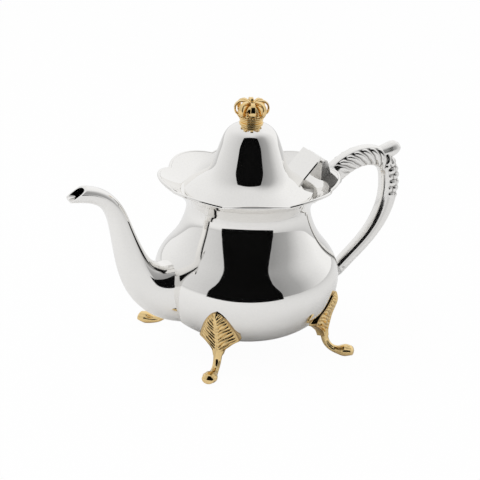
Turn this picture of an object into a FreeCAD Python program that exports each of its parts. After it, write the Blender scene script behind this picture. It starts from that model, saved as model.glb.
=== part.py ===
import FreeCAD, Part
import math
import os
from FreeCAD import Vector

os.makedirs("parts", exist_ok=True)

# All lengths are in millimetres. +Z is up, the table is z = 0 and the pot's axis is the Z axis.
# +X points at the handle, -X at the spout.

# Body
wall = 1.5
base_z = 13.0
base_r = 31.0
bulge_r = 64.3
bulge_z = 54.0
neck_r = 42.8
neck_z = 102.0
solder_gap = 0.05

# Collar around the mouth
rim_z = 124.5
rim_r = 64.0
rim_trim = 0.8
rim_lobes = 8
rim_lobe_depth = 2.4

# Mouth ring that carries the lid
seat_z = 113.0
seat_t = 1.5
mouth_r = 40.0

# Lid
lid_wall = 1.2
lid_r = 44.6
lid_edge_t = 2.4
dome_r = 24.6
dome_z = 135.5
lid_top_r = 8.5
lid_top_z = 161.0
bezel_gap = 1.0
bezel_t = 1.2
bezel_drop = 3.0

# Lid hinge
hinge_x = rim_r - 11.5
hinge_z = rim_z + 4.5
barrel_r = 2.4
hinge_w = 24.0
lid_knuckle_w = 10.0
knuckle_gap = 0.3
pin_r = 1.0
pin_fit = 0.05
leaf_w = 25.0
leaf_t = 1.2
leaf_top_x = hinge_x - 3.9
leaf_top_z = hinge_z + 5.0
leaf_slope = 47.0

# Crown finial
screw_r = 2.0
screw_fit = 0.1
finial_base_h = 4.5
crown_band_r = 8.6
crown_r = 11.2
crown_h = 12.5
crown_arches = 8
arch_r = 1.2
nut_flats = 7.0
nut_h = 3.0
washer_r = 6.0
washer_t = 1.0

# Spout
spout_wall = 1.3
spout_reach = 132.0
spout_tip_z = 125.0
spout_mouth_rise = 7.0
spout_mouth_run = 11.0

# Strainer inside the spout
strainer_t = 0.9
strainer_gap = 0.1
strainer_margin = 2.0
strainer_hole_r = 1.3
strainer_pitch = 4.6

# Handle, its two sockets and insulators
handle_w = 6.0
insulator_t = 2.5
tenon_r = 3.0
tenon_len = 6.0
tenon_fit = 0.05
cross_pin_r = 0.9
cross_pin_len = 10.0
upper_joint = Vector(rim_r, 0, rim_z - 10.5)
upper_dir = Vector(0.85, 0, 0.53).normalize()
lower_joint = Vector(bulge_r + 7.7, 0, bulge_z - 12.5)
lower_dir = Vector(0.86, 0, 0.51).normalize()

# Feet
foot_angles = {"front_left": -135, "front_right": 135, "back_left": -45, "back_right": 45}
pad_top_z = 47.0
pad_w = 13.5
pad_z = 25.0
toe_r = bulge_r + 16.2

AXIS = Vector(0, 0, 1)
ORIGIN = Vector(0, 0, 0)


def spline(points, start=None, end=None):
    # Smooth plane curve through (r, z) points, with optional end directions.
    curve = Part.BSplineCurve()
    vectors = [Vector(r, 0, z) for r, z in points]
    if start is None:
        curve.interpolate(vectors)
    else:
        curve.interpolate(Points=vectors, InitialTangent=Vector(*start), FinalTangent=Vector(*end))
    return curve


def shifted(curve, distance, first=0.0, last=1.0, count=15):
    # Parallel curve on the left of the given one; a negative distance puts it on the right.
    low, high = curve.FirstParameter, curve.LastParameter
    points = []
    for i in range(count):
        u = low + (high - low) * (first + (last - first) * i / (count - 1))
        p = curve.value(u)
        t = curve.tangent(u)[0]
        points.append((p.x - t.z * distance, p.z + t.x * distance))
    return spline(points)


def line(a, b):
    return Part.makeLine(a, b)


def closed_revolve(edges):
    # Solid of revolution about Z from edges that run end to end; the last gap is closed.
    first = edges[0].firstVertex(True).Point
    last = edges[-1].lastVertex(True).Point
    if first.distanceToPoint(last) > 1e-6:
        edges = edges + [line(last, first)]
    face = Part.Face(Part.Wire(edges))
    return face.revolve(ORIGIN, AXIS, 360)


def chain(*items):
    # Edges from curves and points in turn, joined by straight lines.
    edges = []
    here = None
    for item in items:
        if isinstance(item, tuple):
            point = Vector(item[0], 0, item[1])
            if here is not None and here.distanceToPoint(point) > 1e-6:
                edges.append(line(here, point))
            here = point
        else:
            start = item.value(item.FirstParameter)
            if here is not None and here.distanceToPoint(start) > 1e-6:
                edges.append(line(here, start))
            edges.append(item.toShape())
            here = item.value(item.LastParameter)
    return edges


def reverse(curve):
    turned = curve.copy()
    turned.reverse()
    return turned


def revolve_polygon(points):
    vectors = [Vector(r, 0, z) for r, z in points]
    face = Part.Face(Part.makePolygon(vectors + vectors[:1]))
    return face.revolve(ORIGIN, AXIS, 360)


def rod(start, direction, length, radius):
    return Part.makeCylinder(radius, length, start, direction)


def ellipse(centre, direction, half_in, half_across):
    # Ellipse across a path in the XZ plane: half_in lies in that plane, half_across along Y.
    along = Vector(direction).normalize()
    inward = Vector(-along.z, 0, along.x)
    across = Vector(0, 1, 0)
    points = []
    count = 24
    for i in range(count):
        a = 2 * math.pi * i / count
        points.append(centre + inward * (half_in * math.cos(a)) + across * (half_across * math.sin(a)))
    curve = Part.BSplineCurve()
    curve.interpolate(Points=points, PeriodicFlag=True)
    return Part.Wire(curve.toShape())


def loft(sections):
    return Part.makeLoft(sections, True, False)


def largest(shape):
    return max(shape.Solids, key=lambda s: s.Volume)


def highest(shape):
    return max(shape.Solids, key=lambda s: s.CenterOfMass.z)


def save(name, shape):
    shape.removeSplitter().exportStep("parts/%s.step" % name)


# Body: a pear-shaped shell of revolution, open at the bottom and the neck.
shoulder_r = neck_r + 0.41 * (bulge_r - neck_r)
shoulder_z = bulge_z + 0.51 * (neck_z - bulge_z)
body_outer = spline(
    [
        (base_r, base_z),
        (base_r + 0.62 * (bulge_r - base_r), base_z + 0.27 * (bulge_z - base_z)),
        (base_r + 0.93 * (bulge_r - base_r), base_z + 0.63 * (bulge_z - base_z)),
        (bulge_r, bulge_z),
        (bulge_r - 0.13 * (bulge_r - neck_r), bulge_z + 0.23 * (neck_z - bulge_z)),
        (shoulder_r, shoulder_z),
        (neck_r + 0.11 * (bulge_r - neck_r), bulge_z + 0.77 * (neck_z - bulge_z)),
        (neck_r, neck_z),
    ],
    (1, 0, 0.35),
    (0, 0, 1),
)
body_inner = shifted(body_outer, wall)
body_solid = closed_revolve(chain((0, base_z), body_outer, (0, neck_z)))
neck_bore = neck_r - wall
body_shell = closed_revolve(chain(body_outer, (neck_bore, neck_z), reverse(body_inner)))
base_disc = rod(Vector(0, 0, base_z), AXIS, wall, base_r - 2 * wall - solder_gap)
body_shell = body_shell.cut(rod(Vector(0, 0, base_z - 1), AXIS, wall + 1, base_r - 2 * wall))


# Collar: flares from the neck and is trimmed to a rim of shallow lobes.
collar_h = rim_z - neck_z
collar_flare = rim_r - neck_r
collar_curve = spline(
    [
        (neck_r, neck_z),
        (neck_r + 0.09 * collar_flare, neck_z + 0.26 * collar_h),
        (neck_r + 0.36 * collar_flare, neck_z + 0.55 * collar_h),
        (rim_r, rim_z),
    ],
    (0, 0, 1),
    (1, 0, 0.9),
)
collar_inside = shifted(collar_curve, wall)
inside_top = collar_inside.value(collar_inside.LastParameter)
collar_outer = closed_revolve(chain((0, neck_z), collar_curve, (0, rim_z)))
collar_hollow = closed_revolve(chain((0, neck_z), collar_inside, (0, inside_top.z)))
collar_sheet = closed_revolve(chain(collar_curve, reverse(collar_inside)))
lobe_step = 2 * math.pi / rim_lobes
cusp_r = rim_r - rim_trim - rim_lobe_depth
lobe_r = rim_r - rim_trim
lobe_arcs = []


def polar(radius, angle):
    return Vector(radius * math.cos(angle), radius * math.sin(angle), neck_z)


for i in range(rim_lobes):
    start = i * lobe_step
    middle = polar(lobe_r, start + lobe_step / 2)
    lobe_arcs.append(Part.Arc(polar(cusp_r, start), middle, polar(cusp_r, start + lobe_step)).toShape())
lobe_prism = Part.Face(Part.Wire(lobe_arcs)).extrude(AXIS * (3 * collar_h))
collar = largest(collar_sheet.common(lobe_prism))

# Mouth ring: a flat ledge inside the collar.
mouth_ring = rod(Vector(0, 0, seat_z - seat_t), AXIS, seat_t, rim_r)
mouth_ring = mouth_ring.common(collar_hollow)
mouth_ring = mouth_ring.cut(rod(Vector(0, 0, seat_z - 2 * seat_t), AXIS, 3 * seat_t, mouth_r))

# Lid: a bell of revolution with a thick edge that rests on the mouth ring.
lid_edge_z = seat_z + lid_edge_t
lid_outer = spline(
    [
        (lid_r, lid_edge_z),
        (dome_r + 0.60 * (lid_r - dome_r), lid_edge_z + 0.25 * (dome_z - lid_edge_z)),
        (dome_r + 0.20 * (lid_r - dome_r), lid_edge_z + 0.57 * (dome_z - lid_edge_z)),
        (dome_r, dome_z),
        (lid_top_r + 0.75 * (dome_r - lid_top_r), dome_z + 0.45 * (lid_top_z - dome_z)),
        (lid_top_r + 0.43 * (dome_r - lid_top_r), dome_z + 0.84 * (lid_top_z - dome_z)),
        (lid_top_r, lid_top_z),
    ]
)
lid_inner = shifted(lid_outer, lid_wall, 0.04, 0.97)
lid_solid = closed_revolve(chain((0, seat_z), (lid_r, seat_z), lid_outer, (0, lid_top_z)))
inner_low = lid_inner.value(lid_inner.FirstParameter)
inner_high = lid_inner.value(lid_inner.LastParameter)
lid_roof_z = lid_top_z - lid_wall
lid_hollow = closed_revolve(
    chain((0, seat_z), (inner_low.x, seat_z), lid_inner, (inner_high.x, lid_roof_z), (0, lid_roof_z))
)
screw_hole_r = screw_r + screw_fit
lid_shell = lid_solid.cut(lid_hollow)
lid_shell = lid_shell.cut(rod(Vector(0, 0, lid_roof_z - 1), AXIS, lid_wall + 2, screw_hole_r))

# Bezel: the band under the lid that drops into the mouth ring.
bezel_r = mouth_r - bezel_gap
bezel_low = seat_z - bezel_drop
lid_bezel = revolve_polygon(
    [(bezel_r - bezel_t, bezel_low), (bezel_r, bezel_low), (bezel_r, lid_top_z), (bezel_r - bezel_t, lid_top_z)]
)
below_lid = lid_hollow.fuse(rod(Vector(0, 0, bezel_low - 1), AXIS, bezel_drop + 1, bezel_r + bezel_t))
lid_bezel = largest(lid_bezel.common(below_lid))

# Hinge: two outer knuckles on a bracket inside the collar, one knuckle on the lid's leaf.
hinge_axis = Vector(0, 1, 0)
half_w = hinge_w / 2
bore_r = pin_r + pin_fit


def barrel(y0, y1, radius):
    return rod(Vector(hinge_x, y0, hinge_z), hinge_axis, y1 - y0, radius)


def slab(points, y0, y1):
    # Prism along Y from (x, z) corners.
    vectors = [Vector(x, y0, z) for x, z in points]
    face = Part.Face(Part.makePolygon(vectors + vectors[:1]))
    return face.extrude(Vector(0, y1 - y0, 0))


bracket_foot_x = rim_r - 4.5
bracket_foot_z = rim_z - 8.0
bracket = slab(
    [
        (hinge_x - barrel_r, hinge_z),
        (hinge_x + barrel_r, hinge_z),
        (bracket_foot_x - 2.0, rim_z - 3.5),
        (bracket_foot_x - 3.5, bracket_foot_z),
        (hinge_x - barrel_r, bracket_foot_z - 0.5),
    ],
    -half_w,
    half_w,
)
bracket = bracket.fuse(barrel(-half_w, half_w, barrel_r))
pocket_half = lid_knuckle_w / 2 + knuckle_gap
pocket_r = barrel_r + 2 * knuckle_gap
bracket = bracket.cut(slab(
    [
        (hinge_x - 3 * pocket_r, hinge_z - pocket_r),
        (hinge_x + 3 * pocket_r, hinge_z - pocket_r),
        (hinge_x + 3 * pocket_r, hinge_z + 2 * pocket_r),
        (hinge_x - 3 * pocket_r, hinge_z + 2 * pocket_r),
    ],
    -pocket_half,
    pocket_half,
))
bracket = highest(bracket.cut(collar))
hinge_bracket = bracket.cut(barrel(-hinge_w, hinge_w, bore_r))
hinge_pin = barrel(-half_w - 0.4, half_w + 0.4, pin_r)

slope = math.radians(leaf_slope)
leaf_run = Vector(math.cos(slope), 0, math.sin(slope))
leaf_back = Vector(math.sin(slope), 0, -math.cos(slope))
leaf_top = Vector(leaf_top_x, 0, leaf_top_z)
leaf_len = 26.0
leaf_foot = leaf_top - leaf_run * leaf_len
plate_corners = [leaf_foot, leaf_top, leaf_top + leaf_back * leaf_t, leaf_foot + leaf_back * leaf_t]
plate = slab([(p.x, p.z) for p in plate_corners], -leaf_w / 2, leaf_w / 2)
web_top = leaf_top - leaf_run * 2.0 + leaf_back * 0.5 * leaf_t
web_foot = leaf_top - leaf_run * 7.0 + leaf_back * 0.5 * leaf_t
half_knuckle = lid_knuckle_w / 2
web = slab(
    [(web_foot.x, web_foot.z), (web_top.x, web_top.z), (hinge_x, hinge_z + 1.6), (hinge_x, hinge_z - 1.6)],
    -half_knuckle,
    half_knuckle,
)
hinge_leaf = plate.fuse([web, barrel(-half_knuckle, half_knuckle, barrel_r)])
hinge_leaf = highest(hinge_leaf.cut(lid_solid))
hinge_leaf = hinge_leaf.cut(barrel(-hinge_w, hinge_w, bore_r))

# Crown finial: ringed base, band, cap and arches, held from below by a screw, washer and nut.
base_top_z = lid_top_z + finial_base_h
ring_h = finial_base_h / 3
finial_base = revolve_polygon(
    [
        (screw_hole_r, lid_top_z),
        (lid_top_r - 0.4, lid_top_z),
        (lid_top_r - 0.4, lid_top_z + 0.8 * ring_h),
        (lid_top_r - 1.4, lid_top_z + ring_h),
        (lid_top_r - 0.8, lid_top_z + 1.2 * ring_h),
        (lid_top_r - 0.8, lid_top_z + 1.8 * ring_h),
        (lid_top_r - 2.0, lid_top_z + 2.1 * ring_h),
        (lid_top_r - 2.0, base_top_z),
        (screw_hole_r, base_top_z),
    ]
)
crown_top_z = base_top_z + crown_h
cap = spline(
    [
        (crown_band_r, base_top_z + 0.16 * crown_h),
        (crown_r, base_top_z + 0.50 * crown_h),
        (0.72 * crown_r, base_top_z + 0.88 * crown_h),
        (0.22 * crown_r, base_top_z + 0.80 * crown_h),
    ]
)
crown = closed_revolve(
    chain(
        (0, base_top_z),
        (lid_top_r - 2.0, base_top_z),
        (crown_band_r, base_top_z + 0.06 * crown_h),
        cap,
        (0, base_top_z + 0.80 * crown_h),
    )
)
arch_path = Part.Wire(cap.toShape())
arch_start = cap.value(cap.FirstParameter)
arch_dir = cap.tangent(cap.FirstParameter)[0]
arch_end = Part.Wire(Part.makeCircle(arch_r, arch_start, arch_dir))
arch = arch_path.makePipeShell([arch_end], True, True)
arches = []
for i in range(crown_arches):
    turned = arch.copy()
    turned.rotate(ORIGIN, AXIS, 360.0 * (i + 0.5) / crown_arches)
    arches.append(turned)
orb = Part.makeSphere(1.9, Vector(0, 0, crown_top_z - 0.4))
crown_finial = crown.fuse(arches + [orb])
screw_tip_z = lid_roof_z - washer_t - nut_h - 1.0
screw_top_z = base_top_z + 0.45 * crown_h
crown_finial = crown_finial.cut(rod(Vector(0, 0, base_top_z - 1), AXIS, screw_top_z - base_top_z + 1, screw_r))
finial_screw = rod(Vector(0, 0, screw_tip_z), AXIS, screw_top_z - screw_tip_z, screw_r)
washer_z = lid_roof_z - washer_t
finial_washer = rod(Vector(0, 0, washer_z), AXIS, washer_t, washer_r)
finial_washer = finial_washer.cut(rod(Vector(0, 0, washer_z - 1), AXIS, washer_t + 2, screw_hole_r))
nut_corner = nut_flats / math.sqrt(3)
corners = [Vector(nut_corner, 0, washer_z - nut_h)]
for i in range(1, 7):
    a = i * math.pi / 3
    corners.append(Vector(nut_corner * math.cos(a), nut_corner * math.sin(a), washer_z - nut_h))
finial_nut = Part.Face(Part.makePolygon(corners)).extrude(Vector(0, 0, nut_h))
finial_nut = finial_nut.cut(rod(Vector(0, 0, washer_z - nut_h - 1), AXIS, nut_h + 2, screw_r))

# Spout: a swan neck of elliptical sections, cut off where it meets the body.
# Each step gives the share of the reach and of the rise, the in-plane angle and the two half sizes.
spout_low_z = bulge_z - 7.0
spout_in = bulge_r - 16.0
spout_steps = [
    (0.00, 0.00, 4, 22.5, 17.0),
    (0.18, 0.04, 18, 20.0, 15.2),
    (0.34, 0.14, 42, 15.2, 12.2),
    (0.44, 0.29, 63, 11.6, 10.4),
    (0.51, 0.48, 70, 9.2, 8.9),
    (0.565, 0.67, 70, 7.4, 7.7),
    (0.62, 0.83, 62, 6.3, 6.9),
    (0.70, 0.945, 41, 5.7, 6.4),
    (0.81, 1.01, 18, 5.4, 6.2),
    (0.93, 1.035, 8, 5.3, 6.2),
    (1.06, 1.05, 6, 5.2, 6.1),
]
spout_run = spout_reach - spout_in
spout_rise = spout_tip_z - spout_low_z


def spout_sections(inset):
    sections = []
    for out, up, angle, half_in, half_across in spout_steps:
        centre = Vector(-spout_in - out * spout_run, 0, spout_low_z + up * spout_rise)
        a = math.radians(angle)
        sections.append(ellipse(centre, Vector(-math.cos(a), 0, math.sin(a)), half_in - inset, half_across - inset))
    return sections


spout_outer = loft(spout_sections(0))
spout_bore = loft(spout_sections(spout_wall))
mouth_cut = slab(
    [
        (-spout_reach, spout_tip_z),
        (-spout_reach + spout_mouth_run, spout_tip_z + spout_mouth_rise),
        (-spout_reach + spout_mouth_run, spout_tip_z + 40),
        (-spout_reach - 60, spout_tip_z + 40),
        (-spout_reach - 60, spout_tip_z - 40),
        (-spout_reach, spout_tip_z - 40),
    ],
    -30,
    30,
)
spout = spout_outer.cut(spout_bore).cut(body_solid).cut(mouth_cut)
spout = max(spout.Solids, key=lambda s: s.BoundBox.ZMax)

# Opening in the body behind the spout, covered from inside by a pierced strainer plate.
body_shell = largest(body_shell.cut(spout_bore))
strainer_face = shifted(body_outer, wall + strainer_gap)
strainer_back = shifted(body_outer, wall + strainer_gap + strainer_t)
strainer_high = strainer_back.value(strainer_back.LastParameter)
strainer_shell = closed_revolve(
    chain(strainer_face, (strainer_high.x, strainer_high.z), reverse(strainer_back))
)
strainer_half = spout_steps[0][3] - spout_wall + strainer_margin
strainer_start = Vector(-bulge_r, 0, spout_low_z + 1.0)
strainer_plate = strainer_shell.common(rod(strainer_start, Vector(1, 0, 0), bulge_r - 30, strainer_half))
holes = []
rows = int((strainer_half - 2 * strainer_margin) / strainer_pitch)
for i in range(-rows, rows + 1):
    for j in range(-rows, rows + 1):
        y = (j + 0.5 * (i % 2)) * strainer_pitch
        dz = i * strainer_pitch * 0.866
        if abs(y) < spout_steps[0][4] - 2 * spout_wall and math.hypot(y, dz) < strainer_half - 2 * strainer_margin:
            holes.append(rod(strainer_start + Vector(-1, y, dz), Vector(1, 0, 0), bulge_r - 28, strainer_hole_r))
strainer_plate = largest(strainer_plate.cut(Part.makeCompound(holes)))

# Handle: a scroll of elliptical sections from the upper insulator to the lower one.
handle_top = upper_joint + upper_dir * insulator_t
handle_end = lower_joint + lower_dir * insulator_t
handle_steps = [
    (handle_top, upper_dir, 7.6, 1.0),
    (upper_joint + Vector(11.0, 0, 7.5), Vector(0.88, 0, 0.48), 7.3, 1.05),
    (upper_joint + Vector(24.0, 0, 12.0), Vector(1, 0, 0.12), 7.2, 1.1),
    (upper_joint + Vector(37.0, 0, 10.5), Vector(0.93, 0, -0.36), 7.0, 1.1),
    (upper_joint + Vector(46.0, 0, 3.0), Vector(0.55, 0, -0.83), 6.9, 1.1),
    (upper_joint + Vector(49.8, 0, -8.0), Vector(0.12, 0, -1), 6.9, 1.05),
    (upper_joint + Vector(49.6, 0, -20.0), Vector(-0.15, 0, -1), 6.6, 1.0),
    (lower_joint + Vector(37.5, 0, 38.5), Vector(-0.42, 0, -0.9), 6.1, 0.95),
    (lower_joint + Vector(29.5, 0, 25.5), Vector(-0.65, 0, -0.75), 5.5, 0.9),
    (lower_joint + Vector(18.5, 0, 14.0), Vector(-0.77, 0, -0.64), 5.2, 0.85),
    (lower_joint + Vector(10.5, 0, 7.4), Vector(-0.80, 0, -0.60), 5.1, 0.82),
    (handle_end, lower_dir * -1, 5.0, 0.8),
]
handle = loft([ellipse(c, d, half, handle_w * share) for c, d, half, share in handle_steps])
thumb_root = upper_joint + Vector(39.0, 0, 13.5)
thumb = loft(
    [
        ellipse(thumb_root, Vector(1, 0, 0.0), 3.6, 4.6),
        ellipse(thumb_root + Vector(7.5, 0, 1.1), Vector(1, 0, 0.25), 3.4, 5.0),
        ellipse(thumb_root + Vector(14.0, 0, 3.1), Vector(1, 0, 0.30), 2.8, 4.6),
        ellipse(thumb_root + Vector(17.0, 0, 4.1), Vector(1, 0, 0.32), 1.2, 2.4),
    ]
)
handle = handle.fuse(thumb)


def joint_parts(joint, direction, size, depth, keep_out):
    # Socket on the pot, insulator with a tenon each way, and the two cross-pin positions.
    start = joint - direction * depth
    socket = loft(
        [
            ellipse(start, direction, size + 1.2, handle_w + 1.0),
            ellipse(joint - direction * 0.45 * depth, direction, size + 0.4, handle_w + 0.4),
            ellipse(joint, direction, size, handle_w),
        ]
    )
    socket = socket.cut(rod(joint - direction * tenon_len, direction, tenon_len + 1, tenon_r + tenon_fit))
    for solid in keep_out:
        socket = socket.cut(solid)
    socket = max(socket.Solids, key=lambda s: s.CenterOfMass.x)
    disc = loft(
        [
            ellipse(joint, direction, size, handle_w),
            ellipse(joint + direction * insulator_t, direction, size, handle_w),
        ]
    )
    tenons = rod(joint - direction * tenon_len, direction, 2 * tenon_len + insulator_t, tenon_r)
    pins = [
        joint - direction * 0.5 * tenon_len,
        joint + direction * (insulator_t + 0.5 * tenon_len),
    ]
    return socket, disc.fuse(tenons), pins


upper_socket, upper_insulator, upper_pins = joint_parts(
    upper_joint, upper_dir, handle_steps[0][2], 20.0, [collar_outer, body_solid]
)
lower_socket, lower_insulator, lower_pins = joint_parts(
    lower_joint, lower_dir, handle_steps[-1][2], 16.0, [body_solid]
)
for joint, direction in ((upper_joint, upper_dir), (lower_joint, lower_dir)):
    handle = handle.cut(rod(joint, direction, insulator_t + tenon_len, tenon_r + tenon_fit))
pin_rods = []
for centre in upper_pins + lower_pins:
    start = centre - hinge_axis * (cross_pin_len / 2)
    hole = rod(start - hinge_axis * cross_pin_len, hinge_axis, 3 * cross_pin_len, cross_pin_r)
    upper_socket = upper_socket.cut(hole)
    lower_socket = lower_socket.cut(hole)
    upper_insulator = upper_insulator.cut(hole)
    lower_insulator = lower_insulator.cut(hole)
    pin_rods.append(rod(start, hinge_axis, cross_pin_len, cross_pin_r))
    handle = handle.cut(hole)
handle_pins = Part.makeCompound(pin_rods)


# Feet: a leaf-shaped bracket on the body that runs into a slim leg and a turned-out toe.
def flat_ellipse(radius, height, half_r, half_w):
    return ellipse(Vector(radius, 0, height), Vector(0, 0, 1), half_r, half_w)


pad = loft(
    [
        flat_ellipse(bulge_r - 0.8, pad_top_z, 1.0, 0.9),
        flat_ellipse(bulge_r - 1.8, pad_top_z - 0.30 * (pad_top_z - pad_z), 3.0, 0.42 * pad_w),
        flat_ellipse(bulge_r - 5.5, pad_z + 5.0, 5.0, 0.84 * pad_w),
        flat_ellipse(bulge_r - 8.0, pad_z, 5.4, pad_w),
        flat_ellipse(bulge_r - 7.2, pad_z - 6.5, 4.2, 0.55 * pad_w),
        flat_ellipse(bulge_r - 5.8, base_z, 2.9, 3.2),
    ]
)
pad = max(pad.cut(body_solid).Solids, key=lambda s: s.CenterOfMass.x)
toe_steps = [
    (bulge_r - 5.8, base_z + 0.5, -1.35, 2.9, 3.2),
    (bulge_r - 3.6, 7.6, -1.0, 2.8, 2.9),
    (bulge_r + 0.6, 4.2, -0.45, 2.9, 3.4),
    (toe_r - 9.5, 3.4, 0.0, 3.6, 4.6),
    (toe_r - 3.8, 4.0, 0.25, 3.9, 5.0),
    (toe_r - 0.9, 5.0, 0.35, 2.6, 3.4),
    (toe_r, 5.4, 0.4, 0.8, 1.2),
]
leg = loft([
    ellipse(Vector(r, 0, z), Vector(math.cos(a), 0, math.sin(a)), half, side)
    for r, z, a, half, side in toe_steps
])
foot = pad.fuse(leg)
foot = foot.cut(Part.makeBox(200, 200, 20, Vector(-100, -100, -20)))

save("body_shell", body_shell)
save("base_disc", base_disc)
save("collar", collar)
save("mouth_ring", mouth_ring)
save("spout", spout)
save("strainer_plate", strainer_plate)
save("upper_socket", upper_socket)
save("lower_socket", lower_socket)
save("upper_insulator", upper_insulator)
save("lower_insulator", lower_insulator)
save("handle", handle)
handle_pins.exportStep("parts/handle_pins.step")
save("hinge_bracket", hinge_bracket)
save("hinge_pin", hinge_pin)
save("hinge_leaf", hinge_leaf)
save("lid_shell", lid_shell)
save("lid_bezel", lid_bezel)
save("crown_finial", crown_finial)
save("finial_base", finial_base)
save("finial_screw", finial_screw)
save("finial_washer", finial_washer)
save("finial_nut", finial_nut)
for name, angle in foot_angles.items():
    placed = foot.copy()
    placed.rotate(ORIGIN, AXIS, angle)
    save("foot_" + name, placed)
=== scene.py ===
import bpy
import math
import numpy as np
from mathutils import Matrix, Vector


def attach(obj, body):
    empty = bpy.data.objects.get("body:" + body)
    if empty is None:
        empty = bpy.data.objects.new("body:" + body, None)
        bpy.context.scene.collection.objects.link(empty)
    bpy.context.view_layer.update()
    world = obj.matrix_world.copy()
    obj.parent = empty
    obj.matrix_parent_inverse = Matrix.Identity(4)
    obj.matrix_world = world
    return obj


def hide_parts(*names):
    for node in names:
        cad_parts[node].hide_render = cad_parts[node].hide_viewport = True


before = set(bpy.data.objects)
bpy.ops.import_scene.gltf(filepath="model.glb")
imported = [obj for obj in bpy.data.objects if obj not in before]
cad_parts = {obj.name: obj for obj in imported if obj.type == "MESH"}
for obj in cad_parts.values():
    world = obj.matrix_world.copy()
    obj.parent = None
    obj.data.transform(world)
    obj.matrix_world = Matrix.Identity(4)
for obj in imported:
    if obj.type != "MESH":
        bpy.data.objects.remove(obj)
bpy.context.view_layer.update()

MM = 0.001
TAU = 2 * math.pi


# Shape functions.
def lobe(x):
    return np.abs(np.sin(math.pi * x))


def fade(x, low, high):
    t = np.clip((x - low) / (high - low), 0, 1)
    return t * t * (3 - 2 * t)


def box_cos(x, power):
    return np.sign(np.cos(x)) * np.abs(np.cos(x)) ** (2 / power)


def box_sin(x, power):
    return np.sign(np.sin(x)) * np.abs(np.sin(x)) ** (2 / power)


# Curves and meshes, in millimetres.
def smooth(points, t, start=None, end=None, key=None):
    # Cubic spline through the points, read at shares t of its chord length.
    # start and end are the directions at the ends, and the first key columns set the length.
    p = np.array(points, float)
    t = np.atleast_1d(np.array(t, float))
    n = len(p)
    step = np.diff(p[:, :key] if key else p, axis=0)
    h = np.linalg.norm(step, axis=1)
    u = np.concatenate([[0], np.cumsum(h)])
    a = np.zeros((n, n))
    b = np.zeros_like(p)
    for i in range(1, n - 1):
        a[i, i - 1:i + 2] = h[i], 2 * (h[i - 1] + h[i]), h[i - 1]
        b[i] = 3 * (h[i] * (p[i] - p[i - 1]) / h[i - 1] + h[i - 1] * (p[i + 1] - p[i]) / h[i])
    for last, next_in, width, given in ((0, 1, h[0], start), (n - 1, n - 2, h[-1], end)):
        if given is None:
            a[last, last], a[last, next_in] = 2, 1
            b[last] = 3 * (p[max(last, next_in)] - p[min(last, next_in)]) / width
        else:
            a[last, last] = 1
            b[last] = np.array(given, float) / np.linalg.norm(given)
    m = np.linalg.solve(a, b)
    x = np.clip(t, 0, 1) * u[-1]
    i = np.clip(np.searchsorted(u, x, side="right") - 1, 0, n - 2)
    s = ((x - u[i]) / h[i])[:, None]
    w = h[i][:, None]
    return ((1 + 2 * s) * (1 - s) ** 2 * p[i] + s * (1 - s) ** 2 * w * m[i]
            + s * s * (3 - 2 * s) * p[i + 1] + s * s * (s - 1) * w * m[i + 1])


def parallel(curve, distance):
    # Plane curve moved to its left by a distance.
    d = np.gradient(curve, axis=0)
    d /= np.linalg.norm(d, axis=1)[:, None]
    return curve + np.stack([-d[:, 1], d[:, 0]], axis=1) * distance


def volume(verts, faces):
    quads = np.array([f if len(f) == 4 else (*f, f[2]) for f in faces])
    a, b, c, d = (verts[quads[:, i]] for i in range(4))
    return np.sum(a * (np.cross(b, c) + np.cross(c, d)))


def skin(rings, loop=False):
    # Closed mesh over rings of points.
    # A loop joins the last ring to the first, otherwise the ends are capped.
    rings = np.array(rings, float)
    m, n = rings.shape[:2]
    verts = rings.reshape(-1, 3)
    faces = []
    for i in range(m if loop else m - 1):
        j = (i + 1) % m
        for k in range(n):
            q = (k + 1) % n
            faces.append((i * n + k, i * n + q, j * n + q, j * n + k))
    if not loop:
        verts = np.vstack([verts, rings[0].mean(0), rings[-1].mean(0)])
        low, high = m * n, m * n + 1
        for k in range(n):
            q = (k + 1) % n
            faces.append((low, q, k))
            faces.append((high, (m - 1) * n + k, (m - 1) * n + q))
    if volume(verts, faces) < 0:
        faces = [f[::-1] for f in faces]
    return verts, faces


def turned(profile, count):
    # Closed profile of (r, z) points carried round the Z axis.
    a = np.arange(count) * TAU / count
    p = np.array(profile, float)
    r, z = p[:, :1], p[:, 1:]
    rings = np.stack([r * np.cos(a), r * np.sin(a), np.repeat(z, count, axis=1)], axis=2)
    return skin(rings, loop=True)


def ball(centre, radii, count=24):
    v = np.linspace(0.02, 0.98, count // 2) * math.pi
    a = np.arange(count) * TAU / count
    rings = np.stack([np.outer(np.sin(v), np.cos(a)), np.outer(np.sin(v), np.sin(a)),
                      np.outer(np.cos(v), np.ones(count))], axis=2)
    return skin(rings * np.array(radii) + np.array(centre))


def torus(radius, height, tube, count=96):
    b = np.arange(16) * TAU / 16
    circle = np.stack([radius + tube * np.cos(b), height + tube * np.sin(b)], axis=1)
    return turned(circle, count)


def merged(shells):
    verts, faces, base = [], [], 0
    for v, f in shells:
        verts.append(v)
        faces += [tuple(i + base for i in face) for face in f]
        base += len(v)
    return np.vstack(verts), faces


def rotated(shell, angle):
    c, s = math.cos(angle), math.sin(angle)
    v = shell[0]
    x = v[:, 0] * c - v[:, 1] * s
    y = v[:, 0] * s + v[:, 1] * c
    return np.stack([x, y, v[:, 2]], axis=1), shell[1]


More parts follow.
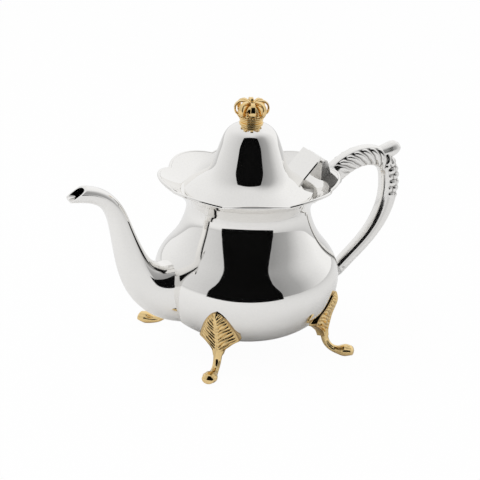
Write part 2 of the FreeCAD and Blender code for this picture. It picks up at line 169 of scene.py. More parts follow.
def thing(name, shells, sharp=40, painted_shade=None):
    # Mesh object from shells given in millimetres.
    # painted_shade is the painted shade at each point of the first shell, 0 to 1, darker in the recesses of
    # the chasing.
    verts, faces = merged(shells)
    mesh = bpy.data.meshes.new(name)
    mesh.from_pydata((verts * MM).tolist(), [], faces)
    mesh.polygons.foreach_set("use_smooth", [True] * len(mesh.polygons))
    mesh.set_sharp_from_angle(angle=math.radians(sharp))
    # Painted shade per point, which the finish mixes into the base colour.
    if painted_shade is not None:
        layer = mesh.attributes.new("painted_shade", "FLOAT", "POINT")
        values = np.zeros(len(verts))
        values[:len(painted_shade)] = painted_shade
        layer.data.foreach_set("value", values)
    mesh.update()
    made = bpy.data.objects.new(name, mesh)
    bpy.context.scene.collection.objects.link(made)
    return made


def show(made, body, nodes, material):
    made.data.materials.clear()
    made.data.materials.append(material)
    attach(made, body)
    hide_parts(*nodes)


# Node groups for what repeats.
def new_group(name, sockets):
    group = bpy.data.node_groups.new(name, "GeometryNodeTree")
    face = group.interface
    face.new_socket("Geometry", in_out="INPUT", socket_type="NodeSocketGeometry")
    for label, kind in sockets:
        face.new_socket(label, in_out="INPUT", socket_type=kind)
    face.new_socket("Geometry", in_out="OUTPUT", socket_type="NodeSocketGeometry")
    return group, group.nodes, group.links


def end_group(nodes, links, geometry, material):
    real = nodes.new("GeometryNodeRealizeInstances")
    paint = nodes.new("GeometryNodeSetMaterial")
    out = nodes.new("NodeGroupOutput")
    links.new(geometry, real.inputs["Geometry"])
    links.new(real.outputs["Geometry"], paint.inputs["Geometry"])
    links.new(material, paint.inputs["Material"])
    links.new(paint.outputs["Geometry"], out.inputs["Geometry"])


def ring_group():
    # Copies of the geometry, turned evenly round the Z axis.
    group, nodes, links = new_group("Ring of copies", [
        ("Count", "NodeSocketInt"), ("Turn", "NodeSocketFloat"), ("Material", "NodeSocketMaterial")])
    given = nodes.new("NodeGroupInput")
    points = nodes.new("GeometryNodePoints")
    index = nodes.new("GeometryNodeInputIndex")
    share = nodes.new("ShaderNodeMath")
    angle = nodes.new("ShaderNodeMath")
    turn = nodes.new("ShaderNodeCombineXYZ")
    place = nodes.new("GeometryNodeInstanceOnPoints")
    share.operation = "DIVIDE"
    angle.operation = "MULTIPLY_ADD"
    angle.inputs[1].default_value = TAU
    links.new(given.outputs["Count"], points.inputs["Count"])
    links.new(index.outputs[0], share.inputs[0])
    links.new(given.outputs["Count"], share.inputs[1])
    links.new(share.outputs[0], angle.inputs[0])
    links.new(given.outputs["Turn"], angle.inputs[2])
    links.new(angle.outputs[0], turn.inputs["Z"])
    links.new(points.outputs[0], place.inputs["Points"])
    links.new(given.outputs["Geometry"], place.inputs["Instance"])
    links.new(turn.outputs[0], place.inputs["Rotation"])
    end_group(nodes, links, place.outputs[0], given.outputs["Material"])
    return group


def bead_group():
    # Beads set evenly along the geometry's edges, taken as a path.
    group, nodes, links = new_group("Beads on a path", [
        ("Count", "NodeSocketInt"), ("Radius", "NodeSocketFloat"), ("Material", "NodeSocketMaterial")])
    given = nodes.new("NodeGroupInput")
    path = nodes.new("GeometryNodeMeshToCurve")
    spread = nodes.new("GeometryNodeResampleCurve")
    bead = nodes.new("GeometryNodeMeshUVSphere")
    soft = nodes.new("GeometryNodeSetShadeSmooth")
    place = nodes.new("GeometryNodeInstanceOnPoints")
    bead.inputs["Segments"].default_value = 14
    bead.inputs["Rings"].default_value = 9
    links.new(given.outputs["Geometry"], path.inputs["Mesh"])
    links.new(path.outputs["Curve"], spread.inputs["Curve"])
    links.new(given.outputs["Count"], spread.inputs["Count"])
    links.new(given.outputs["Radius"], bead.inputs["Radius"])
    links.new(bead.outputs["Mesh"], soft.inputs["Geometry"])
    links.new(spread.outputs["Curve"], place.inputs["Points"])
    links.new(soft.outputs["Geometry"], place.inputs["Instance"])
    end_group(nodes, links, place.outputs[0], given.outputs["Material"])
    return group


def through(made, group, **values):
    # Runs the geometry through a node group and gives it back as plain shells in millimetres.
    work = made.modifiers.new(group.name, "NODES")
    work.node_group = group
    for item in group.interface.items_tree:
        if item.item_type == "SOCKET" and item.in_out == "INPUT" and item.name in values:
            work[item.identifier] = values[item.name]
    made.update_tag()
    bpy.context.view_layer.update()
    graph = bpy.context.evaluated_depsgraph_get()
    mesh = bpy.data.meshes.new_from_object(made.evaluated_get(graph))
    made.modifiers.remove(work)
    verts = np.zeros(len(mesh.vertices) * 3)
    mesh.vertices.foreach_get("co", verts)
    shell = verts.reshape(-1, 3) / MM, [tuple(p.vertices) for p in mesh.polygons]
    bpy.data.objects.remove(made)
    bpy.data.meshes.remove(mesh)
    return shell


def path_thing(name, points):
    mesh = bpy.data.meshes.new(name)
    edges = [(i, i + 1) for i in range(len(points) - 1)]
    mesh.from_pydata((np.array(points) * MM).tolist(), edges, [])
    made = bpy.data.objects.new(name, mesh)
    bpy.context.scene.collection.objects.link(made)
    return made


# Materials.
def finish_of(name, colour, dark, rough, metallic, grain, bump):
    # Procedural finish: roughness in broad patches, fine polishing marks and a little random tone, and
    # painted shade that mixes the base colour towards the dark colour.
    mat = bpy.data.materials.new(name)
    mat.use_nodes = True
    nodes, links = mat.node_tree.nodes, mat.node_tree.links
    shader = nodes["Principled BSDF"]
    shader.inputs["Metallic"].default_value = metallic
    coord = nodes.new("ShaderNodeTexCoord")
    broad = nodes.new("ShaderNodeTexNoise")
    fine = nodes.new("ShaderNodeTexNoise")
    # The attribute node reads the painted shade that the mesh carries per point: darker in the recesses of
    # the chasing and the flutes of the feet.
    painted_shade = nodes.new("ShaderNodeAttribute")
    spread = nodes.new("ShaderNodeMapRange")
    depth = nodes.new("ShaderNodeMath")
    mix = nodes.new("ShaderNodeMix")
    rise = nodes.new("ShaderNodeBump")
    broad.inputs["Scale"].default_value = grain
    broad.inputs["Detail"].default_value = 4
    fine.inputs["Scale"].default_value = grain * 40
    fine.inputs["Detail"].default_value = 3
    painted_shade.attribute_name = "painted_shade"
    spread.inputs["To Min"].default_value = rough * 0.6
    spread.inputs["To Max"].default_value = rough * 1.5
    # Colour mix share: a tenth of the fine noise as random tone, plus the painted shade.
    depth.operation = "MULTIPLY_ADD"
    depth.inputs[1].default_value = 0.10
    mix.data_type = "RGBA"
    mix.inputs["A"].default_value = (*colour, 1)
    mix.inputs["B"].default_value = (*dark, 1)
    rise.inputs["Strength"].default_value = bump
    rise.inputs["Distance"].default_value = 0.0002
    links.new(coord.outputs["Object"], broad.inputs["Vector"])
    links.new(coord.outputs["Object"], fine.inputs["Vector"])
    links.new(broad.outputs["Fac"], spread.inputs["Value"])
    links.new(spread.outputs["Result"], shader.inputs["Roughness"])
    links.new(fine.outputs["Fac"], depth.inputs[0])
    links.new(painted_shade.outputs["Fac"], depth.inputs[2])
    links.new(depth.outputs[0], mix.inputs["Factor"])
    links.new(mix.outputs["Result"], shader.inputs["Base Color"])
    links.new(fine.outputs["Fac"], rise.inputs["Height"])
    links.new(rise.outputs["Normal"], shader.inputs["Normal"])
    return mat


white_metal = (0.93, 0.92, 0.90)
# The second colour of each finish is the colour its painted shade darkens towards.
silver = finish_of("polished silver", white_metal, (0.30, 0.28, 0.26), 0.045, 1, 18, 0.012)
gold = finish_of("gilt", (0.94, 0.70, 0.34), (0.20, 0.10, 0.03), 0.07, 1, 40, 0.02)
chased = finish_of("chased silver", white_metal, (0.16, 0.15, 0.14), 0.15, 1, 30, 0.03)
satin = finish_of("satin silver", (0.90, 0.89, 0.87), (0.40, 0.39, 0.37), 0.40, 1, 30, 0.03)
ivory = finish_of("insulator", (0.70, 0.70, 0.69), (0.40, 0.39, 0.38), 0.35, 0, 40, 0.10)
steel = finish_of("brushed steel", (0.62, 0.61, 0.60), (0.35, 0.34, 0.33), 0.32, 1, 60, 0.12)
painted = [
    (gold, ["crown_finial", "finial_base", "foot_front_left", "foot_front_right", "foot_back_left",
            "foot_back_right"]),
    (ivory, ["upper_insulator", "lower_insulator"]),
    (steel, ["handle_pins", "hinge_pin", "finial_screw", "finial_washer", "finial_nut"]),
    (chased, ["upper_socket", "lower_socket"]),
    (satin, ["hinge_bracket", "strainer_plate"]),
]
paint = {node: material for material, names in painted for node in names}
for node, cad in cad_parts.items():
    cad.data.materials.clear()
    cad.data.materials.append(paint.get(node, silver))

ring_of_copies = ring_group()
beads_on_path = bead_group()
ROUND = 224


# Body: the pear-shaped shell.
wall = 1.5
neck_r = 42.8
neck_z = 102.0
body_points = [(31.0, 13.0), (51.65, 24.07), (61.97, 38.83), (64.28, 54.0), (61.5, 65.04), (51.62, 78.48),
               (45.17, 90.96), (neck_r, neck_z)]
outer = smooth(body_points, np.linspace(0, 1, 120), (1, 0.35), (0, 1))
inner = parallel(outer, wall)


def body_r(z):
    return np.interp(z, outer[:, 1], outer[:, 0])


profile = np.vstack([outer, inner[::-1][::2]])
show(thing("body_skin", [turned(profile, ROUND)]), "pot", ["body_shell"], silver)

# Collar: a flared sheet with a lobed, beaded rim.
collar_points = [(neck_r, neck_z), (44.71, 107.85), (50.43, 114.38), (64.0, 124.5)]
sheet = smooth(collar_points, np.linspace(0, 1, 80), (0, 1), (1, 0.9))
back = parallel(sheet, wall)
lobes, lobe_r, cusp_r = 8, 63.2, 59.0
half = math.pi / lobes
lobe_c = (lobe_r ** 2 - cusp_r ** 2) / (2 * (lobe_r - cusp_r * math.cos(half)))
angles = np.arange(2 * ROUND) * TAU / (2 * ROUND)
off = (angles % (2 * half)) - half
rim = lobe_c * np.cos(off) + np.sqrt((lobe_r - lobe_c) ** 2 - (lobe_c * np.sin(off)) ** 2)
bead = 1.05
sheet_end = rim - 0.9
back_end = rim - 2.1
bead_r = rim - bead - 0.05
bead_z = np.interp(sheet_end, sheet[:, 0], sheet[:, 1]) + 0.55
collar_rows = []
for share in np.linspace(0, 1, 36):
    r = neck_r + share * (sheet_end - neck_r)
    collar_rows.append((r, np.interp(r, sheet[:, 0], sheet[:, 1])))
for turn in np.radians(np.linspace(-100, 190, 14)):
    collar_rows.append((bead_r + bead * math.cos(turn), bead_z + bead * math.sin(turn)))
for share in np.linspace(1, 0, 30):
    r = neck_r - wall + share * (back_end - (neck_r - wall))
    collar_rows.append((r, np.interp(r, back[:, 0], back[:, 1])))
rings = [np.stack([r * np.cos(angles), r * np.sin(angles), np.broadcast_to(z, r.shape)], axis=1)
         for r, z in collar_rows]
show(thing("collar_skin", [skin(rings, loop=True)], 50), "pot", ["collar"], silver)

# Lid: a bell with a flat edge.
lid_wall = 1.2
lid_top_z = 161.0
screw_r = 2.1
lid_points = [(44.6, 115.4), (36.6, 120.43), (28.6, 126.86), (24.6, 135.5), (20.58, 146.98), (15.42, 156.92),
              (8.5, lid_top_z)]
lid_edge = [(43.6, 113.0), (44.45, 113.15), (44.6, 113.5), (44.6, 115.0)]
bell = smooth(lid_points, np.linspace(0, 1, 110))
under = parallel(bell, lid_wall)[4:-4]
screw_hole = [(screw_r, lid_top_z), (screw_r, lid_top_z - lid_wall)]
profile = np.vstack([lid_edge, bell, screw_hole, under[::-1][::2], [(42.0, 113.0)]])
show(thing("lid_skin", [turned(profile, ROUND)], 30), "lid", ["lid_shell"], silver)

# Spout: a swan neck of oval sections, with a slant mouth.
# Each step has its share of the reach and the rise, its tilt, and its half height and half width.
spout_x, spout_reach, spout_z, spout_rise = -48.3, 83.7, 47, 78
spout_wall = 1.3
spout_power = 2.7
spout_steps = [(0.00, 0.00, 4, 22.5, 17.0), (0.18, 0.04, 18, 20.0, 15.2), (0.34, 0.14, 42, 15.2, 12.2),
               (0.44, 0.29, 63, 11.6, 10.4), (0.51, 0.48, 70, 9.2, 8.9), (0.565, 0.67, 70, 7.4, 7.7),
               (0.62, 0.83, 62, 6.3, 6.9), (0.70, 0.945, 41, 5.7, 6.4), (0.81, 1.01, 18, 5.4, 6.2),
               (0.93, 1.035, 8, 5.3, 6.2), (1.06, 1.05, 6, 5.2, 6.1)]
spout_nodes = [(spout_x - spout_reach * out, spout_z + spout_rise * up, tilt, half_in, half_across)
               for out, up, tilt, half_in, half_across in spout_steps]
tube = smooth(spout_nodes, np.linspace(0, 1, 260), key=2)
tip_x = spout_x - spout_reach
tip_z = spout_z + spout_rise
around = np.arange(96) * TAU / 96


def oval(row, inset):
    # Section with soft corners.
    x, z, tilt, half_in, half_across = row
    a = math.radians(tilt)
    lift = (half_in - inset) * box_cos(around, spout_power)
    side = (half_across - inset) * box_sin(around, spout_power)
    return np.stack([x + math.sin(a) * lift, side, z + math.cos(a) * lift], axis=1)


def trimmed(inset, low):
    # Sections from the body's skin to the slant mouth, along each line of the tube.
    net = np.array([oval(row, inset) for row in tube])
    steps = np.arange(len(tube))
    radius = np.hypot(net[:, :, 0], net[:, :, 1]) - body_r(net[:, :, 2])
    slant = (net[:, :, 0] - tip_x) * 7.0 - (net[:, :, 2] - tip_z) * 11.0
    mouth = np.minimum(slant, (net[:, :, 0] - tip_x) * 8)
    kept = []
    for k in range(net.shape[1]):
        first = np.flatnonzero(radius[:, k] < low)[-1]
        f = first + (low - radius[first, k]) / (radius[first + 1, k] - radius[first, k])
        gone = np.flatnonzero((mouth[:, k] < 0) & (steps > 120))
        last = gone[0] if len(gone) else len(tube) - 1
        g = last - 1 + mouth[last - 1, k] / (mouth[last - 1, k] - mouth[last, k])
        at = np.linspace(f, g, 130)
        kept.append(np.stack([np.interp(at, steps, net[:, k, c]) for c in range(3)], axis=1))
    return np.array(kept).transpose(1, 0, 2)


skin_out = trimmed(0, -0.6)
skin_in = trimmed(spout_wall, -1.2)
lip = 0.5 * (skin_out[-1] + skin_in[-1]) + np.array([0.02, 0, 0.2])
spout_rings = np.vstack([skin_out, lip[None], skin_in[::-1]])
show(thing("spout_skin", [skin(spout_rings, loop=True)], 55), "pot", ["spout"], silver)


# Handle: a scroll with chased leaves on the upper arm and husks on the outer bend.
# Each step is X, Z, half height and half width.
def swept(steps, count):
    # Points along the steps, with the unit direction at each.
    line = smooth(steps, np.linspace(0, 1, count), key=2)
    run = np.gradient(line[:, :2], axis=0)
    return line, run / np.linalg.norm(run, axis=1)[:, None]


def across(line, run, lift, side):
    # Sections set square to the line.
    x = line[:, :1] - run[:, 1:] * lift
    z = line[:, 1:2] + run[:, :1] * lift
    return np.stack([x, side, z], axis=2)


handle_power = 2.6
handle_steps = [(66.1, 115.3, 7.6, 6.0), (75.0, 121.5, 7.3, 6.3), (88.0, 126.0, 7.2, 6.6),
                (101.0, 124.5, 7.0, 6.6), (110.0, 117.0, 6.9, 6.6), (112.8, 106.0, 6.9, 6.3),
                (112.4, 94.4, 6.6, 6.0), (108.3, 80.7, 6.1, 5.7), (100.4, 67.9, 5.5, 5.4),
                (89.5, 56.5, 5.2, 5.1), (81.8, 49.7, 5.1, 4.9), (74.15, 42.8, 5.0, 4.8)]
line, run = swept(handle_steps, 300)
reach = np.concatenate([[0], np.cumsum(np.linalg.norm(np.diff(line[:, :2], axis=0), axis=1))])
about = np.arange(80) * TAU / 80
about = np.where(about > math.pi, about - TAU, about)
s, a = reach[:, None], about[None, :]
height = line[:, 2:3] * np.cos(a)
flank = fade(np.abs(a), 0.55, 0.75) * (1 - fade(np.abs(a), 2.35, 2.55))
leaf_zone = fade(s, 4, 9) * (1 - fade(s, 46, 50)) * flank
leaf_step = 5.6
leaf_cut = lobe((s + 0.9 * height) / leaf_step)
husk_zone = fade(s, 46, 49) * (1 - fade(s, 72, 75)) * (1 - fade(np.abs(a), 1.75, 1.95))
husk_step = 4.7
tier = np.floor(s / husk_step)
husk_cut = np.sqrt(lobe(s / husk_step) * lobe(a / 0.75 + 0.5 * (tier % 2)))
crease = np.exp(-((np.abs(a) - 1.75) / 0.12) ** 2) * fade(s, 70, 76)
groove = np.exp(-((np.abs(a) - 0.62) / 0.09) ** 2) * fade(s, 3, 9) * (1 - fade(s, 48, 52))
grow = (leaf_zone * (1.3 * leaf_cut - 0.9) + husk_zone * (1.5 * husk_cut - 1.0)
        - 0.15 * crease - 0.3 * groove)
# Painted shade: darker in the cuts between the leaves and the husks, in the crease and in the groove.
painted_shade = np.clip(leaf_zone * (1 - leaf_cut * 2.4) + husk_zone * (1 - husk_cut * 1.9)
                 + 0.25 * crease + 0.25 * groove, 0, 1)
scroll = across(line, run, (line[:, 2:3] + grow) * box_cos(a, handle_power),
                (line[:, 3:4] + grow) * box_sin(a, handle_power))
thumb_steps = [(98.0, 126.0, 3.0, 4.4), (105.0, 126.6, 4.6, 5.2), (110.5, 127.5, 5.2, 5.8),
               (115.0, 129.0, 5.2, 5.8), (117.3, 130.4, 4.4, 4.8), (118.65, 131.4, 2.5, 2.8),
               (119.2, 131.9, 0.4, 0.5)]
line, run = swept(thumb_steps, 48)
thumb = across(line, run, line[:, 2:3] * np.cos(a), line[:, 3:4] * np.sin(a))
show(thing("handle_skin", [skin(scroll), skin(thumb)], 60, painted_shade.ravel()),
     "pot", ["handle"], chased)

# Upper insulator: a plain shield round the joint.
aim = Vector((0.85, 0, 0.53)).normalized()
shield_x, shield_z, shield_power = 64.0, 114.0, 2.8
sleeve = []
for along, swell in ((-2.6, -1.2), (-2.4, -0.2), (-1.6, 0.5), (1.25, 0.75), (4.1, 0.5), (4.9, -0.2),
                     (5.1, -1.2)):
    lift = (7.6 + swell) * box_cos(about, shield_power)
    side = (6.0 + swell) * box_sin(about, shield_power)
    sleeve.append(np.stack([shield_x + aim.x * along - aim.z * lift, side,
                            shield_z + aim.z * along + aim.x * lift], axis=1))
show(thing("shield", [skin(sleeve)], 50), "pot", ["upper_insulator"], ivory)

# Crown finial: ringed foot, jewelled band, cap and eight arches.
roll = [(screw_r, lid_top_z), (7.5, lid_top_z)]
for r, z in ((7.7, 161.8), (7.25, 163.3), (7.7, 164.8)):
    for turn in np.radians(np.linspace(-80, 80, 9)):
        roll.append((r + 0.6 * math.cos(turn), z + 0.7 * math.sin(turn)))
roll += [(7.2, 166.0), (screw_r, 166.0)]
show(thing("finial_rings", [turned(roll, 96)]), "lid", ["finial_base"], gold)

bow_count = 8
arch = smooth([(8.7, 167.6), (10.5, 168.9), (11.4, 171.6), (10.7, 174.6), (8.3, 176.5), (5.2, 176.5),
               (2.3, 175.4)], np.linspace(0, 1, 44))
cap = smooth([(8.0, 167.4), (8.6, 171.0), (6.6, 174.0), (2.3, 174.6)], np.linspace(0, 1, 24))
cap_profile = np.vstack([[(0.05, 165.9), (8.0, 165.9)], cap, [(0.05, cap[-1, 1])]])
run = np.gradient(arch, axis=0)
run /= np.linalg.norm(run, axis=1)[:, None]
b = np.arange(20) * TAU / 20
swell = np.interp(np.linspace(0, 1, len(arch)), [0, 0.3, 0.7, 1], [1.5, 1.9, 1.5, 0.9])[:, None]
proud = 0.75 * box_cos(b, 2.4) - 0.25 * (np.abs(np.sin(b)) < 0.35) * (np.cos(b) > 0)
bow = np.stack([arch[:, :1] + run[:, 1:] * proud, swell * box_sin(b, 2.4),
                arch[:, 1:] - run[:, :1] * proud], axis=2)
bows = through(thing("arches", [skin(bow)]), ring_of_copies,
               Count=bow_count, Turn=TAU / (2 * bow_count), Material=gold)
leaf = [ball((9.2, 0, 168.5), (0.7, 1.1, 1.2), 14), ball((9.6, 0, 170.2), (0.6, 0.8, 0.9), 14)]
leaves = through(thing("leaves", leaf), ring_of_copies, Count=bow_count, Turn=0.0, Material=gold)
hoop = [(9.15 * math.cos(t), 9.15 * math.sin(t), 167.0) for t in np.linspace(0, TAU, 97)]
pearls = through(path_thing("pearls", hoop), beads_on_path, Count=33, Radius=0.55 * MM, Material=gold)
crown = [turned(cap_profile, 96), torus(8.6, 166.35, 0.6), torus(8.7, 167.7, 0.5), bows, leaves, pearls,
         ball((0, 0, 177.2), (1.5, 1.5, 1.9)), torus(1.5, 176.0, 0.5, 32)]
show(thing("crown", crown, 50), "lid", ["crown_finial"], gold)


# Feet: a fluted palmette on the body, a slim leg and a scrolled toe.
def palmette():
    # Pad on the body, with the painted shade at each point: darker in the flutes, along the border groove and
    # in a painted shadow line round the edge.
    z = np.linspace(47.2, 13.5, 110)
    plan = smooth([(47.2, 0.9), (46.7, 2.6), (45.0, 4.7), (42, 7.2), (37, 10.0), (31, 12.6), (27.5, 13.8),
                   (25.4, 14.2), (23.8, 12.0), (20.5, 7.6), (17.5, 4.5), (13.5, 3.1)], np.linspace(0, 1, 240))
    middle = smooth([(47.2, 65.2), (43, 66.3), (38, 65.5), (33.5, 63.9), (28, 62.4), (23.5, 61.6),
                     (17, 60.8), (13.5, 61.2)], np.linspace(0, 1, 200))
    w = np.interp(-z, -plan[:, 0], plan[:, 1])
    rc = np.interp(-z, -middle[:, 0], middle[:, 1])
    edge = np.maximum(np.sqrt(body_r(z) ** 2 - w ** 2) + 0.8, rc - 0.42 * w)
    u = np.linspace(-1, 1, 81)[None, :]
    y = w[:, None] * u
    zz = np.repeat(z[:, None], 81, axis=1)
    x = edge[:, None] + (rc - edge)[:, None] * (1 - np.abs(u) ** 1.7)
    far = np.hypot(y, zz - 14.5)
    vein = zz - 0.95 * np.abs(y) + 0.022 * y ** 2 + 0.35 * np.sin(0.9 * zz + np.sign(y))
    flute = lobe(vein / 2.9)
    rib = np.exp(-(y / 1.2) ** 2)
    border = np.exp(-((np.abs(u) - 0.86) / 0.06) ** 2) * fade(w[:, None], 3, 6)
    depth = fade(far, 3, 6) * (1 - rib) * (1 - fade(np.abs(u), 0.80, 0.88))
    # Painted shadow: a dark line round the pad's edge, where it meets the body.
    painted_edge_shadow = fade(np.abs(u), 0.93, 0.99)
    x = x + depth * 1.0 * (flute - 0.7) + 0.8 * rib - 0.5 * border
    # Painted shade: darker in the troughs of the flutes and along the border groove, plus the painted shadow
    # at the edge.
    dark = np.clip(depth * (0.7 - 1.6 * flute) + 0.35 * border + 0.8 * painted_edge_shadow, 0, 1)
    rear = np.maximum(x - 5.5, np.minimum(x - 2.0, np.sqrt(body_r(zz) ** 2 - y ** 2) - 0.5))
    front = np.stack([x, y, zz], axis=2)
    back_side = np.stack([rear, y, zz], axis=2)[:, ::-1]
    pad = skin(np.concatenate([front, back_side], axis=1))
    return pad, np.concatenate([dark, 0 * dark], axis=1).ravel()


def leg():
    # Each step is X, Z, tilt, half height and half width.
    steps = [(58.6, 14.5, -1.40, 2.7, 3.1), (60.6, 8.2, -1.05, 2.4, 2.7), (64.6, 4.6, -0.45, 2.3, 2.7),
             (69.6, 3.6, 0.0, 3.0, 3.7), (74.6, 4.2, 0.12, 4.1, 5.2), (78.4, 4.6, 0.2, 3.4, 4.4),
             (80.2, 4.9, 0.3, 1.4, 1.9), (80.5, 5.0, 0.3, 0.3, 0.4)]
    way = smooth(steps, np.linspace(0, 1, 70), key=2)
    c = np.arange(40) * TAU / 40
    from_top = np.abs(np.where(c > math.pi, c - TAU, c))
    cut = 1 - 0.10 * np.exp(-((from_top - 0.8) / 0.16) ** 2)
    lift = way[:, 3:4] * np.cos(c) * cut
    tilt = way[:, 2:3]
    return skin(np.stack([way[:, :1] - np.sin(tilt) * lift, way[:, 4:5] * np.sin(c) * cut,
                          np.maximum(way[:, 1:2] + np.cos(tilt) * lift, 0)], axis=2))


pad, pad_painted_shade = palmette()
foot = [pad, leg()]
for name, degrees in (("front_left", -135), ("front_right", 135), ("back_left", -45), ("back_right", 45)):
    placed = [rotated(shell, math.radians(degrees)) for shell in foot]
    show(thing("foot_leaf_" + name, placed, 60, pad_painted_shade), "pot", ["foot_" + name], gold)


# Studio: pale floor, white surroundings and a dark opening on the camera's side.
# Its places are given along right, away and up, as the camera sees them.
right = Vector((0.8829, -0.4695, 0))
away = Vector((0.4695, 0.8829, 0))


def placed_at(x, y, z):
    return tuple(right * x + away * y + Vector((0, 0, z)))


def stage_mesh(name, corners, faces, material, mirrored_only):
    # Piece of the studio. One that is mirrored only shows in the metal and nowhere else.
    mesh = bpy.data.meshes.new(name)
    mesh.from_pydata([placed_at(*corner) for corner in corners], [], faces)
    mesh.materials.append(material)
    made = bpy.data.objects.new(name, mesh)
    bpy.context.scene.collection.objects.link(made)
    if mirrored_only:
        made.visible_camera = False
        made.visible_diffuse = False
        made.visible_shadow = False
        made.visible_transmission = False
    return mesh


def new_material(name):
    material = bpy.data.materials.new(name)
    material.use_nodes = True
    return material, material.node_tree.nodes, material.node_tree.links


def matt(shader, grey, rough):
    shader.inputs["Base Color"].default_value = (grey, grey, grey, 1)
    shader.inputs["Roughness"].default_value = rough
    shader.inputs["Specular IOR Level"].default_value = 0.0


one_face = [(0, 1, 2, 3)]
floor_mat, nodes, links = new_material("pale floor")
floor_paint = nodes["Principled BSDF"]
matt(floor_paint, 0.80, 0.9)
glow = nodes.new("ShaderNodeEmission")
blend = nodes.new("ShaderNodeMixShader")
ray = nodes.new("ShaderNodeLightPath")
part = nodes.new("ShaderNodeMath")
part.operation = "MULTIPLY"
part.inputs[1].default_value = 0.97
links.new(ray.outputs["Is Camera Ray"], part.inputs[0])
links.new(part.outputs[0], blend.inputs["Fac"])
links.new(floor_paint.outputs[0], blend.inputs[1])
links.new(glow.outputs[0], blend.inputs[2])
links.new(blend.outputs[0], nodes["Material Output"].inputs["Surface"])
stage_mesh("floor", [(-4, -4, 0), (4, -4, 0), (4, 4, 0), (-4, 4, 0)], one_face, floor_mat, False)

# Dark room: a floor that widens away from the part, and a wall of (height, half width) steps behind it.
dark_mat, nodes, links = new_material("dark room")
matt(nodes["Principled BSDF"], 0.004, 1.0)
near_y, wall_y, floor_z = -0.45, -1.5, 0.002
wall_steps = [(0, 1.55), (0.35, 1.50), (0.7, 1.38), (1.1, 1.26), (1.6, 1.22), (2.3, 1.27), (3.3, 1.34)]
foot_x = wall_steps[0][1]
stage_mesh("dark_floor", [(near_y, near_y, floor_z), (-near_y, near_y, floor_z), (foot_x, wall_y, floor_z),
                          (-foot_x, wall_y, floor_z)], one_face, dark_mat, True)
for (low_z, low_x), (high_z, high_x) in zip(wall_steps, wall_steps[1:]):
    stage_mesh("dark_wall_%d" % (100 * low_z),
               [(-low_x, wall_y, low_z), (low_x, wall_y, low_z), (high_x, wall_y, high_z),
                (-high_x, wall_y, high_z)], one_face, dark_mat, True)

# Tent of pale cloth: greyer beside the opening, whiter at the back.
tent_mat, nodes, links = new_material("tent_cloth")
nodes.remove(nodes["Principled BSDF"])
cloth = nodes.new("ShaderNodeEmission")
cloth_tone = nodes.new("ShaderNodeAttribute")
cloth_tone.attribute_name = "level"
links.new(cloth_tone.outputs["Color"], cloth.inputs["Color"])
links.new(cloth.outputs[0], nodes["Material Output"].inputs["Surface"])
tent_r, tent_rows, tent_columns = 3.4, 31, 72
lat = np.radians(np.linspace(-2, 88, tent_rows))
lon = np.arange(tent_columns) * TAU / tent_columns
spots = np.stack([tent_r * np.outer(np.cos(lat), np.sin(lon)), -tent_r * np.outer(np.cos(lat), np.cos(lon)),
                  tent_r * np.outer(np.sin(lat), np.ones(tent_columns))], axis=2).reshape(-1, 3)
quads = []
for i in range(tent_rows - 1):
    for k in range(tent_columns):
        q = (k + 1) % tent_columns
        low_row, high_row = i * tent_columns, (i + 1) * tent_columns
        quads.append((low_row + k, low_row + q, high_row + q, high_row + k))
quads.append(tuple((tent_rows - 1) * tent_columns + k for k in range(tent_columns)))
tent_mesh = stage_mesh("tent", spots, quads, tent_mat, True)
side_angle = np.degrees(np.where(lon > math.pi, lon - TAU, lon))
tone_angles = [-180, -130, -100, -60, 0, 45, 70, 95, 125, 180]
tone_levels = [0.95, 0.88, 0.78, 0.66, 0.45, 0.30, 0.40, 0.72, 0.95, 0.97]
roof_tone = 0.80
tone = np.interp(side_angle, tone_angles, tone_levels)[None, :]
tone = tone + (roof_tone - tone) * fade(np.degrees(lat)[:, None], 45, 85)
layer = tent_mesh.attributes.new("level", "FLOAT_COLOR", "POINT")
layer.data.foreach_set("color", np.repeat(tone.ravel()[:, None], 4, axis=1).ravel())

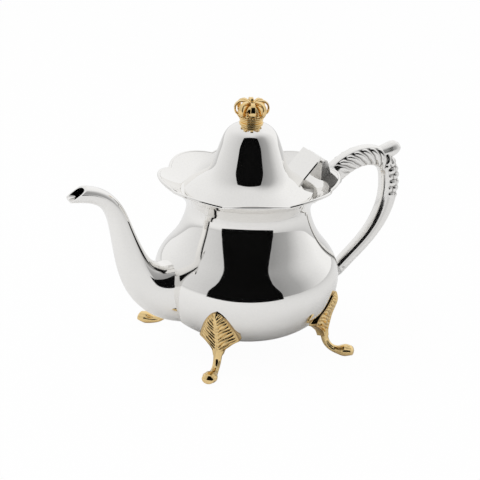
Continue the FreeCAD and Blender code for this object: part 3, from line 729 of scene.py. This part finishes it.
# World: white where the camera or the metal looks at it, softer as light.
world = bpy.data.worlds.new("studio")
bpy.context.scene.world = world
world.use_nodes = True
nodes, links = world.node_tree.nodes, world.node_tree.links
ambient = nodes["Background"]
ambient.inputs["Color"].default_value = (1, 1, 1, 1)
ambient.inputs["Strength"].default_value = 0.75
white = nodes.new("ShaderNodeBackground")
white.inputs["Color"].default_value = (1, 1, 1, 1)
white.inputs["Strength"].default_value = 1.0
ray = nodes.new("ShaderNodeLightPath")
seen = nodes.new("ShaderNodeMath")
seen_through = nodes.new("ShaderNodeMath")
choice = nodes.new("ShaderNodeMixShader")
seen.operation = "ADD"
seen_through.operation = "ADD"
seen_through.use_clamp = True
links.new(ray.outputs["Is Camera Ray"], seen.inputs[0])
links.new(ray.outputs["Is Glossy Ray"], seen.inputs[1])
links.new(seen.outputs[0], seen_through.inputs[0])
links.new(ray.outputs["Is Transmission Ray"], seen_through.inputs[1])
links.new(seen_through.outputs[0], choice.inputs["Fac"])
links.new(ambient.outputs[0], choice.inputs[1])
links.new(white.outputs[0], choice.inputs[2])
links.new(choice.outputs[0], nodes["World Output"].inputs["Surface"])

# Softbox above, to the left.
lamp = bpy.data.lights.new("softbox", "AREA")
lamp.shape = "RECTANGLE"
lamp.size = 0.9
lamp.size_y = 0.6
lamp.energy = 6
box = bpy.data.objects.new("softbox", lamp)
box.location = placed_at(-0.5, -0.1, 1.2)
box.rotation_euler = (Vector((0, 0, 0.08)) - box.location).to_track_quat("-Z", "Y").to_euler()
bpy.context.scene.collection.objects.link(box)
box.visible_glossy = False

# Camera, with a slight roll.
lens = bpy.data.cameras.new("camera")
lens.sensor_width = 36
lens.lens = 128.07
lens.shift_x = -0.0149
camera = bpy.data.objects.new("camera", lens)
place = away * -1.1 + Vector((0, 0, 0.523))
look = (Vector((0, 0, 0.0757)) - place).normalized()
sideways = look.cross(Vector((0, 0, 1))).normalized()
upright = sideways.cross(look)
roll_angle = math.radians(2.0)
camera_x = sideways * math.cos(roll_angle) + upright * math.sin(roll_angle)
camera_y = upright * math.cos(roll_angle) - sideways * math.sin(roll_angle)
facing = Matrix((camera_x, camera_y, -look)).transposed()
camera.matrix_world = Matrix.Translation(place) @ facing.to_4x4()
bpy.context.scene.collection.objects.link(camera)
bpy.context.scene.camera = camera
bpy.context.scene.view_settings.view_transform = "Standard"
